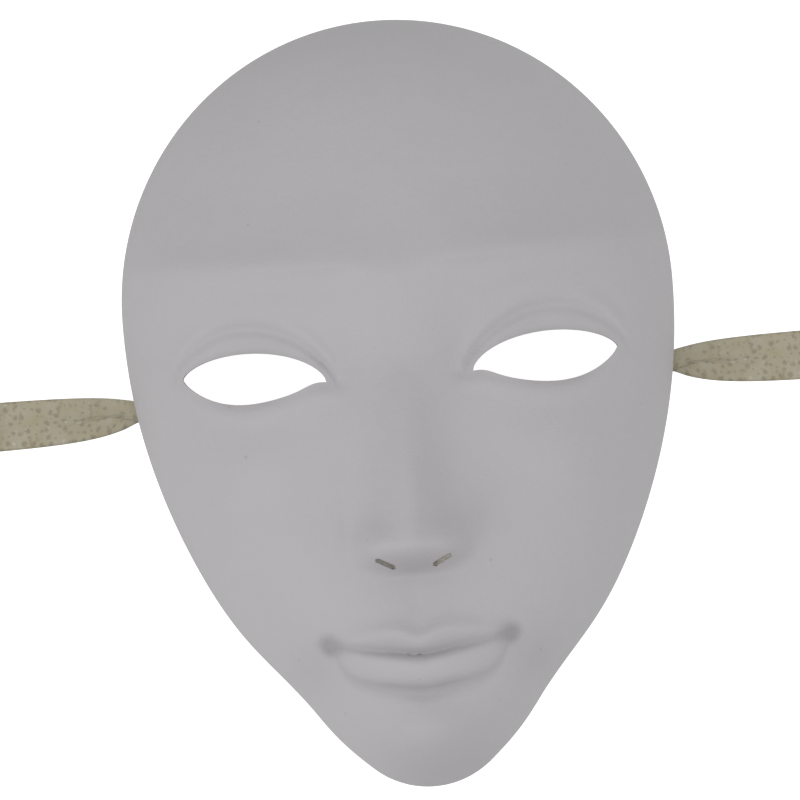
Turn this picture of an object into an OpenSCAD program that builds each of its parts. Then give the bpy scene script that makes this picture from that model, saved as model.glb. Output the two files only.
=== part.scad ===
// Blank full-face costume mask of moulded paper pulp with two tie ribbons. It lies face
// up on a table. +Z points out of the face, +Y to the forehead, and the origin is on the
// table under the middle of the mask. Left and right are as seen from above.

/* [Mask outline] */
// Height of the mask from crown to chin
mask_h = 230; // [190:1:280]
// Width of the mask at the temples, and of the half circle that makes its crown
mask_w = 167; // [138:1:200]
// Radius of the outline round the chin
chin_r = 27.5; // [18:0.5:34]
// How far the jaw line is drawn in from a full arc
jaw_hollow = 2.6; // [0:0.1:5]

/* [Shell] */
// Wall of the moulded paper
wall = 2; // [1.5:0.1:3]
// Height of the bare dome over the rim, between the cheeks
dome_h = 66; // [52:1:80]
// How much lower the dome is at the chin
chin_drop = 16; // [8:1:24]
// How far the rim rises off the table beside the ribbons
rim_arch = 2.2; // [1.8:0.1:3]

/* [Face] */
// Height of the nose tip over the dome
nose_out = 19; // [12:0.5:26]
// Height of the nose tip on the mask, from the middle
nose_y = -38; // [-44:1:-32]
// Half width of the nose across its wings
nose_w = 15; // [12:0.5:18]
// Height of the mouth on the mask, from the middle
mouth_y = -71; // [-77:1:-65]
// Half width of the mouth
mouth_w = 25; // [19:0.5:30]
// Height of the brow ridge on the mask, from the middle
brow_y = 39; // [33:1:45]

/* [Eye openings] */
// From the middle of the mask to the inner corner
eye_x = 21; // [17:0.5:26]
// Length of an opening from corner to corner
eye_w = 42.5; // [32:0.5:46]
// Height of the inner corner on the mask, from the middle
eye_y = 7.7; // [4:0.1:12]
// How much higher the outer corner lies
eye_tilt = 3.8; // [0:0.1:6]
// Rise of the upper edge over the line between the corners
eye_up = 8; // [5:0.1:10]
// Drop of the lower edge under that line
eye_down = 6.9; // [4:0.1:9]

/* [Nostril slits] */
// Length of a slit
slit_l = 6.5; // [4:0.5:8]
// Width of a slit
slit_w = 1.6; // [1.2:0.1:3]
// From the middle of the mask to the middle of a slit
slit_x = 8; // [6.5:0.5:10]
// How far the slits lie below the nose tip
slit_drop = 7; // [5:0.5:9]

/* [Ribbons] */
// Width of the flat ribbon
ribbon_w = 15; // [10:0.5:20]
// Thickness of the ribbon as it lies, with its own slight waves
ribbon_t = 0.5; // [0.4:0.05:0.8]
// Width of the gathered end that passes under the rim
gather_w = 6.3; // [5:0.1:9]
// Thickness of the gathered end, several folds of ribbon
gather_t = 1; // [0.8:0.05:1.3]
// Height of the gathered end on the mask, from the middle
ribbon_y = 5; // [0:0.5:10]
// How far the gathered end reaches up the inside of the wall
tab_l = 17; // [12:0.5:24]
// How far the ribbon lies open beside the mask before its folds
ribbon_run = 42; // [34:1:60]
// Length of the folded rest of the ribbon
fold_l = 62; // [45:1:80]
// Height of the folded rest of the ribbon
fold_h = 5; // [3:0.5:8]
// Width of the thread tie wound round the folds
tie_w = 3; // [2:0.5:6]
// Thickness of the tie
tie_t = 0.5; // [0.4:0.1:1]

/* [Glue] */
// Length of a pad of hot glue, up the wall
glue_l = 13; // [9:0.5:20]
// Width of a pad of hot glue
glue_w = 12; // [9:0.5:18]
// Thickness of a pad of hot glue over the ribbon
glue_t = 1.6; // [1:0.1:2.5]

/* [Hidden] */
paper = [0.67, 0.66, 0.67];
ribbon_tone = [0.63, 0.60, 0.53];
glue_tone = [0.86, 0.84, 0.76];
thread_tone = [0.78, 0.74, 0.64];

// Air round the glued and tied pieces, and at each ribbon's bend
seat_gap = 0.15;
bend_gap = 0.3;

// The outline of one half is three arcs that meet without a corner: the crown, the side
// and the chin. At a place t on it, from 0 at the crown to 3 at the chin, the whole part
// says which arc and the fraction how far along it.
half_w = mask_w / 2;
widest_y = mask_h / 2 - half_w;
chin_y = chin_r - mask_h / 2;
side_r = (half_w * half_w + pow(widest_y - chin_y, 2) - chin_r * chin_r)
    / (2 * (half_w - chin_r));
side_turn = asin((widest_y - chin_y) / (side_r - chin_r));
crown_steps = 15;
side_steps = 21;
chin_steps = 5;
rings = 26;

function bell(v) = exp(-v * v);
function mix(a, b, k) = a + (b - a) * k;
function ramp(a, b, v) = let(k = min(max((v - a) / (b - a), 0), 1)) k * k * (3 - 2 * k);
function unit(v) = v / norm(v);
function jaw_in(y) = jaw_hollow * bell((y - 0.97 * chin_y) / 15) * ramp(chin_y * 1.3, chin_y, y);

function arc_point(middle, r, turn) = [middle[0] + r * cos(turn), middle[1] + r * sin(turn)];
function full_point(t) =
    t < 1 ? arc_point([0, widest_y], half_w, 90 * (1 - t))
    : t < 2 ? arc_point([half_w - side_r, widest_y], side_r, -side_turn * (t - 1))
    : arc_point([0, chin_y], chin_r, mix(-side_turn, -90, t - 2));
function rim_point(t) = let(p = full_point(t)) [max(p[0] - jaw_in(p[1]), 0), p[1]];
// The place on the side arc at a height on the mask
function side_place(y) = 1 + asin((widest_y - y) / side_r) / side_turn;

// The rim touches the table above and below each ribbon, and rises at crown and chin.
function rim_z(y) = let(k = pow((y - ribbon_y) / 45, 2))
    rim_arch * pow(k - 1, 2) / (1 + 0.8 * k);

// Each place on the rim has a place on the middle line, from which the dome falls to it.
spine_mid = -20;
spine_half = 60;
function spine_y(y) = let(k = exp(2 * (y - spine_mid) / spine_half))
    spine_mid + spine_half * (k - 1) / (k + 1);
function dome(s, y, low) = let(
    to_chin = ramp(0, -mask_h / 2, y),
    top = dome_h - chin_drop * to_chin)
    low + (top - low) * sqrt(max(1 - pow(s, 2 + 0.7 * to_chin), 0));

// Each feature of the face is a height over the dome at a point p.
// A rounded hill or hollow of a height h, at x and y on both halves
function hill(p, x, y, rx, ry, h) = h * bell((p[1] - y) / ry)
    * (bell((p[0] - x) / rx) + (x == 0 ? 0 : bell((p[0] + x) / rx)));

function nose(p) = let(
    top = eye_y + 6,
    along = max((top - p[1]) / (top - nose_y), -0.5),
    rise = nose_out * (0.08 + 0.92 * pow(max(along, 0), 1.2)),
    half = mix(9.5, 11, min(max(along, 0), 1)),
    under = 1 - ramp(nose_y - 0.5, nose_y - 12, p[1]))
    rise * ramp(-0.5, 0.3, along) * under * bell(p[0] / half)
        + hill(p, nose_w - 4.5, nose_y - 1.5, 5.5, 6.5, 6.5)
            * (1 - ramp(nose_y - 4, nose_y - 11, p[1]))
        + hill(p, nose_w + 1.5, nose_y + 1, 3.4, 7, -1.2)
        + hill(p, 0, nose_y, 7.5, 6.5, 0.8);

function lips(p) = let(
    across = min(abs(p[0]) / mouth_w, 1),
    full = pow(1 - across * across, 0.7),
    bow = max(full * (5.4 + 0.8 * bell((abs(p[0]) - 9) / 6) - 1.2 * bell(p[0] / 4)), 0.3),
    deep = max(10.2 * sqrt(1 - pow(across, 6)), 0.3),
    v = p[1] - mouth_y + 0.8 * bell(p[0] / 6) - 2.8 * pow(p[0] / mouth_w, 2),
    up = min(max(v / bow, 0), 1),
    down = min(max(-v / deep, 0), 1),
    upper = v < bow ? 1 - pow(1 - up, 1.8) : bell((v - bow) / 3.2),
    lower = 1 - pow(abs(2 * pow(down, 0.8) - 1), 2.2))
    full * ((v > 0 ? 2 * upper : 3.6 * lower)
        - 1.5 * bell((v + deep + 1.2) / 2.4) - 0.5 * bell(v / 1.6));
function mouth(p) = lips(p)
    + hill(p, 0, mouth_y + 2, 25, 17, 6)
    + hill(p, mouth_w + 1, mouth_y + 2.8, 3.2, 3, -4)
    + hill(p, 0, mouth_y - 14, 19, 5, -1.2)
    + hill(p, 0, mouth_y - 26, 16, 10, 7)
    + hill(p, 0, mouth_y + 13, 4, 6, -0.8);

// The crease of the upper lid is an arc over the opening, and a soft fold lies below it.
function lids(p) = let(
    past = abs(p[0]) - eye_x,
    chord = eye_y + eye_tilt * past / eye_w,
    arc = min(max((past + 3) / (eye_w + 6), 0), 1),
    crease = p[1] - chord - (eye_up + 7) * pow(4 * arc * (1 - arc), 0.75),
    fold = p[1] - chord - lid_down(min(max(past / eye_w, 0), 1)) + 3.6)
    ramp(-8, 2, past) * ramp(10, -2, past - eye_w)
        * (0.9 * bell((crease - 3.6) / 3) - 1.1 * bell(crease / 1.5) + 0.8 * bell(fold / 2.4));
function eyes(p) = let(mid = eye_x + eye_w / 2)
    lids(p)
        + hill(p, mid, eye_y + 3, 19, 11, 4.5)
        + hill(p, mid, eye_y + 7, 26, 17, -6.5)
        + hill(p, eye_x - 2, eye_y + 5, 7, 10, -2.4);

function brow(p) = let(over = p[1] - brow_y - 3.5 * pow(p[0] / 60, 2))
    2.4 * ramp(-3.2, 2.2, over) * (1 - ramp(4, 26, over)) * ramp(2, 20, abs(p[0]))
        + hill(p, 0, brow_y - 4, 16, 12, 3)
        + hill(p, eye_x + 19, brow_y, 24, 8, 4)
        + hill(p, eye_x + 45, brow_y + 4, 12, 5, 1.6)
        + hill(p, eye_x + 27, eye_y - 26, 17, 14, 4.5);

// Point on the outer skin at a place t round the rim and a share s of the way to it
function skin(t, s) = let(
    o = rim_point(t),
    p = [o[0] * s, mix(spine_y(o[1]), o[1], s)])
    [p[0], p[1], dome(s, p[1], rim_z(o[1]))
        + (nose(p) + mouth(p) + eyes(p) + brow(p)) * (1 - pow(s, 8))];
// The way into the wall from the skin, level on the rim and upright on the middle line
function inward(t, s) = let(
    k = min(max(s, 0.02), 0.999),
    n = cross(skin(min(t + 0.01, 3), k) - skin(max(t - 0.01, 0), k),
        skin(t, k - 0.001) - skin(t, k + 0.001)),
    m = s == 0 || t == 0 || t == 3 ? [0, n[1], n[2]] : n)
    unit(s == 1 ? [m[0], m[1], 0] : m);
function inside(t, s, deep) = skin(t, s) + deep * inward(t, s);

// Places down one half of the rim, and all the way round it
half_steps = crown_steps + side_steps + chin_steps;
places = [for (i = [0 : half_steps])
    i < crown_steps ? i / crown_steps
    : i < crown_steps + side_steps ? 1 + (i - crown_steps) / side_steps
    : 2 + (i - crown_steps - side_steps) / chin_steps];
around = 2 * half_steps;
function flip(p, yes) = yes ? [-p[0], p[1], p[2]] : p;
// One skin of the shell, the middle line first and then its rings out to the rim
function sheet(deep) = let(half = [for (j = [0 : rings])
    [for (t = places) inside(t, sin(90 * j / rings), deep)]])
    [each half[0], for (j = [1 : rings]) for (k = [0 : around - 1])
        flip(half[j][min(k, around - k)], k > half_steps)];
function spot(j, k) = let(m = k % around)
    j == 0 ? min(m, around - m) : half_steps + 1 + (j - 1) * around + m;
function tidy(face) = len(face) == 4 && face[0] == face[1]
    ? [face[1], face[2], face[3]] : face;

module shell_body() {
    count = half_steps + 1 + rings * around;
    cells = [for (j = [0 : rings - 1]) for (k = [0 : around - 1])
        tidy([spot(j, k), spot(j, k + 1), spot(j + 1, k + 1), spot(j + 1, k)])];
    edge = [for (k = [0 : around - 1])
        [spot(rings, k), spot(rings, k + 1), count + spot(rings, k + 1), count + spot(rings, k)]];
    polyhedron([each sheet(0), each sheet(wall)],
        [each cells, each edge,
         for (c = cells) [for (n = [len(c) - 1 : -1 : 0]) count + c[n]]], convexity = 8);
}

// Edges of an eye opening over and under the line between its corners
eye_steps = 16;
function lid_up(k) = let(m = pow(k, 0.9)) eye_up * pow(4 * m * (1 - m), 0.65);
function lid_down(k) = let(m = pow(k, 1.45))
    -eye_down * pow(4 * m * (1 - m), 0.8) * (1 - bell(k / 0.12));
function eye_edge(k, off) = [eye_x + eye_w * k, eye_y + eye_tilt * k + off];
module eye_opening() {
    linear_extrude(2 * dome_h)
        polygon([
            for (n = [0 : eye_steps]) eye_edge(n / eye_steps, lid_down(n / eye_steps)),
            for (n = [eye_steps - 1 : -1 : 1]) eye_edge(n / eye_steps, lid_up(n / eye_steps))]);
}
slit_tilt = -30;
module nostril_slit() {
    translate([slit_x, nose_y - slit_drop])
        rotate(-slit_tilt)
            linear_extrude(2 * dome_h)
                hull()
                    for (side = [-1, 1])
                        translate([side * (slit_l - slit_w) / 2, 0])
                            circle(d = slit_w, $fn = 16);
}
module mask_shell() {
    color(paper)
        difference() {
            shell_body();
            for (side = [0, 1])
                mirror([side, 0, 0]) {
                    eye_opening();
                    nostril_slit();
                }
        }
}

// A pad that lies along the inside of the wall: round the rim between two places, from
// the share s_low of the way out to s_high, and between two depths under the skin
module wall_pad(t_mid, half_long, s_low, s_high, near, far, along = 4, up = 8) {
    nodes = [for (deep = [near, far]) for (j = [0 : up]) for (i = [0 : along])
        inside(t_mid + half_long * (2 * i / along - 1), mix(s_low, s_high, j / up), deep)];
    row = along + 1;
    layer = row * (up + 1);
    rim = [
        for (i = [0 : along]) i,
        for (j = [1 : up]) j * row + along,
        for (i = [along - 1 : -1 : 0]) up * row + i,
        for (j = [up - 1 : -1 : 1]) j * row];
    polyhedron(nodes, [
        for (j = [0 : up - 1]) for (i = [0 : along - 1]) let(a = j * row + i)
            each [[a + row, a + row + 1, a], [a + row + 1, a + 1, a]],
        for (j = [0 : up - 1]) for (i = [0 : along - 1]) let(a = layer + j * row + i)
            each [[a, a + row + 1, a + row], [a, a + 1, a + row + 1]],
        for (n = [0 : len(rim) - 1]) let(a = rim[n], b = rim[(n + 1) % len(rim)])
            each [[a, b, b + layer], [a, b + layer, a + layer]]]);
}

// Beside each ribbon a frame stands on the rim: x out of the wall, y along the rim, z up.
ribbon_place = side_place(ribbon_y);
ribbon_rim = rim_point(ribbon_place);
ribbon_lean = side_turn * (ribbon_place - 1);
place_per_mm = 180 / (PI * side_r * side_turn);
function share_at(height) = sqrt(1 - pow(height / (dome_h - rim_arch), 2));
function seen_from_rim(p) = [
    (p[0] - ribbon_rim[0]) * cos(ribbon_lean) - (p[1] - ribbon_rim[1]) * sin(ribbon_lean), p[2]];
module on_rim(side) {
    mirror([side, 0, 0])
        translate([ribbon_rim[0], ribbon_rim[1], 0])
            rotate(-ribbon_lean)
                children();
}
module side_profile(width) {
    rotate([90, 0, 0])
        linear_extrude(width, center = true)
            children();
}

// The gathered end goes down the inside of the wall and turns out under the rim.
bend_x = 1.2;
bend_z = rim_arch / 2;
function wall_line(deep, top, steps = 7) = [for (n = [0 : steps])
    seen_from_rim(inside(ribbon_place, share_at(top * (1 - n / steps)), deep))];
function turned(list) = [for (n = [len(list) - 1 : -1 : 0]) list[n]];
module tab_outline(near, far, top, end_x, half) {
    polygon([
        each wall_line(near, top),
        [-near, bend_z + half], [end_x, bend_z + half],
        [end_x, bend_z - half], [-far, bend_z - half],
        each turned(wall_line(far, top))]);
}
tab_near = wall + seat_gap;
tab_far = tab_near + gather_t;
module ribbon_tab(side) {
    color(ribbon_tone)
        on_rim(side)
            side_profile(gather_w)
                tab_outline(tab_near, tab_far, tab_l,
                    bend_x - gather_t / 2 - bend_gap, gather_t / 2);
}

glue_low = 3;
module glue_pad(side) {
    color(glue_tone)
        mirror([side, 0, 0])
            difference() {
                wall_pad(ribbon_place, place_per_mm * glue_w / 2,
                    share_at(glue_low + glue_l), share_at(glue_low),
                    tab_near, tab_far + glue_t);
                on_rim(0)
                    side_profile(gather_w + 2 * seat_gap)
                        tab_outline(0, tab_far + seat_gap, tab_l + seat_gap, 0,
                            gather_t / 2 + seat_gap);
            }
}

// The open ribbon fans out from its gathered end, comes down on the table and rises
// again to the lowest of its folds, which lie on the tie.
strip_steps = 12;
fold_z = tie_t + seat_gap;
bend_at = [ribbon_rim[0] + bend_x * cos(ribbon_lean), ribbon_rim[1] - bend_x * sin(ribbon_lean)];
function strip_ring(k) = let(
    half = mix(gather_w, ribbon_w, ramp(0, 0.75, k)) / 2,
    thick = mix(0.8 * gather_t, ribbon_t, ramp(0, 0.3, k)) / 2,
    lean = ribbon_lean * (1 - ramp(0, 0.3, k)),
    z = mix(bend_z, ribbon_t / 2, ramp(0, 0.3, k)) + fold_z * ramp(0.7, 1, k))
    [for (c = [[-1, -1], [1, -1], [1, 1], [-1, 1]]) [
        bend_at[0] + ribbon_run * k + c[0] * half * sin(lean),
        bend_at[1] + c[0] * half * cos(lean),
        z + c[1] * thick]];
module ribbon(side) {
    color(ribbon_tone)
        mirror([side, 0, 0]) {
            polyhedron([for (n = [0 : strip_steps]) each strip_ring(n / strip_steps)], [
                [0, 1, 2, 3],
                for (n = [0 : strip_steps - 1]) for (c = [0 : 3]) let(
                    a = 4 * n + c, b = 4 * n + (c + 1) % 4)
                    each [[a, a + 4, b + 4], [a, b + 4, b]],
                [for (c = [3 : -1 : 0]) 4 * strip_steps + c]]);
            translate([bend_at[0], bend_at[1], bend_z])
                rotate([90, 0, -ribbon_lean])
                    cylinder(d = gather_t, h = gather_w, center = true, $fn = 32);
        }
}

// The rest is folded to and fro. Its lowest layer goes on from the open ribbon.
module beside_run(side, x) {
    mirror([side, 0, 0])
        translate([bend_at[0] + ribbon_run + x, bend_at[1], fold_z])
            children();
}
module folded_end(side) {
    color(ribbon_tone)
        beside_run(side, 0)
            side_profile(ribbon_w) {
                square([fold_h / 2, ribbon_t]);
                translate([fold_h / 2, 0])
                    square([fold_l - fold_h, fold_h]);
                for (x = [fold_h / 2, fold_l - fold_h / 2])
                    translate([x, fold_h / 2])
                        circle(d = fold_h, $fn = 32);
            }
}
module fold_tie(side) {
    round_folds = [tie_w, ribbon_w + 2 * seat_gap, fold_h + 2 * seat_gap];
    color(thread_tone)
        beside_run(side, fold_l / 2)
            translate([0, 0, fold_h / 2])
                difference() {
                    cube(round_folds + [0, 2 * tie_t, 2 * tie_t], center = true);
                    cube(round_folds + [1, 0, 0], center = true);
                }
}

mask_shell();
ribbon_tab(1);  // ribbon_tab_left
ribbon_tab(0);  // ribbon_tab_right
glue_pad(1);  // glue_left
glue_pad(0);  // glue_right
ribbon(1);  // ribbon_left
ribbon(0);  // ribbon_right
folded_end(1);  // folded_end_left
folded_end(0);  // folded_end_right
fold_tie(1);  // fold_tie_left
fold_tie(0);  // fold_tie_right
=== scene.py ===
"""Blank full-face mask with ribbon ties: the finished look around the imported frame."""

import math

import bpy
import numpy as np
from bpy.props import FloatProperty, FloatVectorProperty, IntProperty, PointerProperty
from mathutils import Matrix, Vector


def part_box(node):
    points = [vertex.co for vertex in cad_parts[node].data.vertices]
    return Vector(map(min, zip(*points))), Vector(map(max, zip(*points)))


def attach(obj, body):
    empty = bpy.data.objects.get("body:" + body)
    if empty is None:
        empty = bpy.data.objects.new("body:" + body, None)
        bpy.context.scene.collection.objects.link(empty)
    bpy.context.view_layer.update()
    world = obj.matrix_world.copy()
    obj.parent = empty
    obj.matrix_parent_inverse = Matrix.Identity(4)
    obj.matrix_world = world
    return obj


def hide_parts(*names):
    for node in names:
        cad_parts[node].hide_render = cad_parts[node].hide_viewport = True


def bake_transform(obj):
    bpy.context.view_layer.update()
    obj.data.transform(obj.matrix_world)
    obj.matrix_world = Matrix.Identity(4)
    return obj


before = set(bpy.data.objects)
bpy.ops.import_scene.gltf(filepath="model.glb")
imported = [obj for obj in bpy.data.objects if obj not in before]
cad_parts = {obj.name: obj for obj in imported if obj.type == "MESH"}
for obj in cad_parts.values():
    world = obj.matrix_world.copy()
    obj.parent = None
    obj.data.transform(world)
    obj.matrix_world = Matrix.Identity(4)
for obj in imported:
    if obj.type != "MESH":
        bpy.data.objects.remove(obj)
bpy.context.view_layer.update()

bl_info = {
    "name": "Blank Mask with Ribbon Ties",
    "version": (1, 0, 0),
    "blender": (4, 5, 0),
    "location": "View3D > Sidebar > Mask",
    "description": "Builds a moulded paper mask, its two ribbons and the table they lie on",
    "category": "Add Mesh",
}

MM = 0.001
EASED = 1.8  # mm over which the inner skin's features are averaged
THINNEST = 0.7  # least share of the wall left where a fold is eased
EDGE_BAND = 2.5  # mm of skin beside an opening that its cut edge rules
FAR = 9.0  # distance given to the places that are nowhere near an opening
SHELL_LOW, SHELL_HIGH = (np.array(corner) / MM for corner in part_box("mask_shell"))


# ---------------------------------------------------------------- the mask's surface, in mm


def bell(v):
    return np.exp(-v * v)


def mix(a, b, k):
    return a + (b - a) * k


def ramp(a, b, v):
    k = np.clip((v - a) / (b - a), 0, 1)
    return k * k * (3 - 2 * k)


class Face:
    """The mask's outline, dome and relief.

    A place t runs down one half of the rim, from 0 at the crown to 3 at the chin, and a
    share s runs from the middle line out to the rim.
    """

    def __init__(self, sizes):
        self.height = SHELL_HIGH[1] - SHELL_LOW[1]
        self.half_w = (SHELL_HIGH[0] - SHELL_LOW[0]) / 2
        for name in FACE_SIZES:
            setattr(self, name, getattr(sizes, name))
        self.widest_y = self.height / 2 - self.half_w
        self.chin_mid = self.chin_r - self.height / 2
        drop = self.widest_y - self.chin_mid
        self.side_r = (self.half_w**2 + drop**2 - self.chin_r**2) / (
            2 * (self.half_w - self.chin_r)
        )
        self.side_turn = math.asin(drop / (self.side_r - self.chin_r))

    def rim_point(self, t):
        turn = np.where(
            t < 1,
            math.pi / 2 * (1 - t),
            np.where(
                t < 2, -self.side_turn * (t - 1), mix(-self.side_turn, -math.pi / 2, t - 2)
            ),
        )
        r = np.where(t < 1, self.half_w, np.where(t < 2, self.side_r, self.chin_r))
        mid_x = np.where((t >= 1) & (t < 2), self.half_w - self.side_r, 0)
        mid_y = np.where(t < 2, self.widest_y, self.chin_mid)
        x, y = mid_x + r * np.cos(turn), mid_y + r * np.sin(turn)
        inset = self.jaw_hollow * bell((y - 0.97 * self.chin_mid) / 15)
        inset = inset * ramp(self.chin_mid * 1.3, self.chin_mid, y)
        return np.maximum(x - inset, 0), y

    def side_place(self, y):
        return 1 + math.asin((self.widest_y - y) / self.side_r) / self.side_turn

    def rim_z(self, y):
        k = ((y - self.ribbon_y) / 45) ** 2
        return self.rim_arch * (k - 1) ** 2 / (1 + 0.8 * k)

    def spine_y(self, y):
        return -20 + 60 * np.tanh((y + 20) / 60)

    def dome(self, s, y, low):
        to_chin = ramp(0, -self.height / 2, y)
        top = self.dome_h - self.chin_drop * to_chin
        return low + (top - low) * np.sqrt(np.maximum(1 - s ** (2 + 0.7 * to_chin), 0))

    # One feature each, as heights over the dome at x and y

    def hill(self, x, y, at_x, at_y, rx, ry, h):
        across = bell((x - at_x) / rx) + (bell((x + at_x) / rx) if at_x else 0)
        return h * bell((y - at_y) / ry) * across

    def nose(self, x, y):
        top = self.eye_y + 6
        along = (top - y) / (top - self.nose_y)
        rise = self.nose_out * (0.08 + 0.92 * np.maximum(along, 0) ** 1.2)
        half = mix(9.5, 11, np.clip(along, 0, 1))
        under = 1 - ramp(self.nose_y - 0.5, self.nose_y - 12, y)
        ridge = rise * ramp(-0.5, 0.3, along) * under * bell(x / half)
        wings = self.hill(x, y, self.nose_w - 4.5, self.nose_y - 1.5, 5.5, 6.5, 6.5)
        wings = wings * (1 - ramp(self.nose_y - 4, self.nose_y - 11, y))
        grooves = self.hill(x, y, self.nose_w + 1.5, self.nose_y + 1, 3.4, 7, -1.2)
        return ridge + wings + grooves + self.hill(x, y, 0, self.nose_y, 7.5, 6.5, 0.8)

    def mouth_line(self, x):
        return self.mouth_y - 0.8 * bell(x / 6) + 2.8 * (x / self.mouth_w) ** 2

    def lip_edges(self, x):
        """Height of the upper lip and depth of the lower lip beside the mouth line."""
        full = np.maximum(1 - (x / self.mouth_w) ** 2, 0) ** 0.7
        bow = full * (5.4 + 0.8 * bell((np.abs(x) - 9) / 6) - 1.2 * bell(x / 4))
        deep = 10.2 * np.sqrt(np.maximum(1 - (x / self.mouth_w) ** 6, 0))
        return full, np.maximum(bow, 0.3), np.maximum(deep, 0.3)

    def lips(self, x, y):
        full, bow, deep = self.lip_edges(x)
        v = y - self.mouth_line(x)
        up, down = np.clip(v / bow, 0, 1), np.clip(-v / deep, 0, 1)
        upper = np.where(v < bow, 1 - (1 - up) ** 1.8, bell((v - bow) / 3.2))
        lower = 1 - np.abs(2 * down**0.8 - 1) ** 2.2
        return full * (
            np.where(v > 0, 2.0 * upper, 3.6 * lower)
            - 1.5 * bell((v + deep + 1.2) / 2.4)
            - 0.5 * bell(v / 1.6)
        )

    def mouth(self, x, y):
        return (
            self.lips(x, y)
            + self.hill(x, y, 0, self.mouth_y + 2, 25, 17, 6)
            + self.hill(x, y, self.mouth_w + 1, self.mouth_y + 2.8, 3.2, 3, -4)
            + self.hill(x, y, 0, self.mouth_y - 14, 19, 5, -1.2)
            + self.hill(x, y, 0, self.mouth_y - 26, 16, 10, 7)
            + self.hill(x, y, 0, self.mouth_y + 13, 4, 6, -0.8)
        )

    def lid(self, x):
        """Share along an eye opening, and the heights of its upper and lower edges."""
        k = np.clip((np.abs(x) - self.eye_x) / self.eye_w, 0, 1)
        m, n = k**0.9, k**1.45
        chord = self.eye_y + self.eye_tilt * k
        upper = chord + self.eye_up * (4 * m * (1 - m)) ** 0.65
        lower = chord - self.eye_down * (4 * n * (1 - n)) ** 0.8 * (1 - bell(k / 0.12))
        return k, upper, lower

    def eyes(self, x, y):
        mid = self.eye_x + self.eye_w / 2
        _, _, lower = self.lid(x)
        past = np.abs(x) - self.eye_x
        inset = ramp(-8, 2, past) * ramp(10, -2, past - self.eye_w)
        arc = np.clip((past + 3) / (self.eye_w + 6), 0, 1)
        chord = self.eye_y + self.eye_tilt * past / self.eye_w
        fold = y - chord - (self.eye_up + 7) * (4 * arc * (1 - arc)) ** 0.75
        return (
            inset * (0.9 * bell((fold - 3.6) / 3) - 1.1 * bell(fold / 1.5))
            + inset * 0.8 * bell((y - lower + 3.6) / 2.4)
            + self.hill(x, y, mid, self.eye_y + 3, 19, 11, 4.5)
            + self.hill(x, y, mid, self.eye_y + 7, 26, 17, -6.5)
            + self.hill(x, y, self.eye_x - 2, self.eye_y + 5, 7, 10, -2.4)
        )

    def brow_line(self, x):
        return self.brow_y + 3.5 * (x / 60) ** 2

    def brow(self, x, y):
        line = self.brow_line(x)
        shelf = 2.4 * ramp(-3.2, 2.2, y - line) * (1 - ramp(4, 26, y - line))
        return (
            shelf * ramp(2, 20, np.abs(x))
            + self.hill(x, y, 0, self.brow_y - 4, 16, 12, 3)
            + self.hill(x, y, self.eye_x + 19, self.brow_y, 24, 8, 4.0)
            + self.hill(x, y, self.eye_x + 45, self.brow_y + 4, 12, 5, 1.6)
            + self.hill(x, y, self.eye_x + 27, self.eye_y - 26, 17, 14, 4.5)
        )

    def hollows(self, x, y):
        """Painted shade: how much the paint is darkened to stand for shade, in the creases of the mouth,
        nose and chin, along the lid edges and in a band over the brow, from 0 to about 1.
        """
        full, bow, deep = self.lip_edges(x)
        v = y - self.mouth_line(x)
        near = ramp(1.02, 0.9, np.abs(x) / self.mouth_w)
        above_brow = y - self.brow_line(x)
        k, upper, lower = self.lid(x)
        lids = (4 * k * (1 - k)) ** 0.4
        outer_lid = ramp(0.05, 0.35, 1 - k) * ramp(0.1, 0.5, k)
        return np.clip(
            # Painted shade along the mouth line, on the upper lip, under the lower lip, at and beside
            # the mouth's corners, under the nose, down its bridge and under the chin
            0.35 * near * bell(v / 1.3)
            + 0.5 * full * ramp(0, 1.5, v) * ramp(1.2, 0.4, v / bow)
            + 0.7 * full**0.5 * bell((v + deep + 0.6) / 2.2)
            + self.hill(x, y, self.mouth_w + 0.6, self.mouth_y + 2.6, 3.6, 2.8, 0.7)
            + self.hill(x, y, self.mouth_w + 7, self.mouth_y - 4, 8, 9, 0.3)
            + self.hill(x, y, 0, self.nose_y - 8, 14, 4, 0.45)
            + self.hill(x, y, 0, self.nose_y + 22, 9, 26, 0.14)
            + self.hill(x, y, 0, 6 - self.height / 2, 22, 16, 0.6)
            # Painted shade: a faint darker band over the brow line, fading up the forehead
            + 0.15 * ramp(-2.5, 1.5, above_brow) * ramp(50, 6, above_brow)
            # Painted shade along the lower and upper edges of the eye openings
            + 0.75 * lids * outer_lid * bell((y - lower + 0.2) / 1.3)
            + 0.45 * lids * bell((y - upper - 0.1) / 0.9),
            0, 1,
        )

    def relief(self, x, y):
        return self.nose(x, y) + self.mouth(x, y) + self.eyes(x, y) + self.brow(x, y)

    def eased_relief(self, x, y, eased):
        """The relief, or its mean over two rings of places round each point."""
        spots = [(0, 0)]
        if eased:
            spots += [(r * math.cos(a), r * math.sin(a)) for r in (0.5, 1) for a in range(7)]
        return np.mean([self.relief(x + eased * a, y + eased * b) for a, b in spots], 0)

    def skin(self, t, s, eased=0):
        """Points on the outer skin, or with its features eased over a distance."""
        rim_x, rim_y = self.rim_point(t)
        x, y = rim_x * s, mix(self.spine_y(rim_y), rim_y, s)
        relief = self.eased_relief(x, y, eased)
        z = self.dome(s, y, self.rim_z(rim_y)) + relief * (1 - s**8)
        return np.stack([x, y, z], -1)


FACE_SIZES = (
    "chin_r jaw_hollow wall dome_h chin_drop rim_arch nose_out nose_y nose_w mouth_y mouth_w brow_y "
    "eye_x eye_w eye_y eye_tilt eye_up eye_down slit_l slit_w slit_x slit_drop ribbon_y"
).split()


# ---------------------------------------------------------------- the shell's mesh


def unit(v):
    return v / np.maximum(np.linalg.norm(v, axis=-1, keepdims=True), 1e-12)


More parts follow.
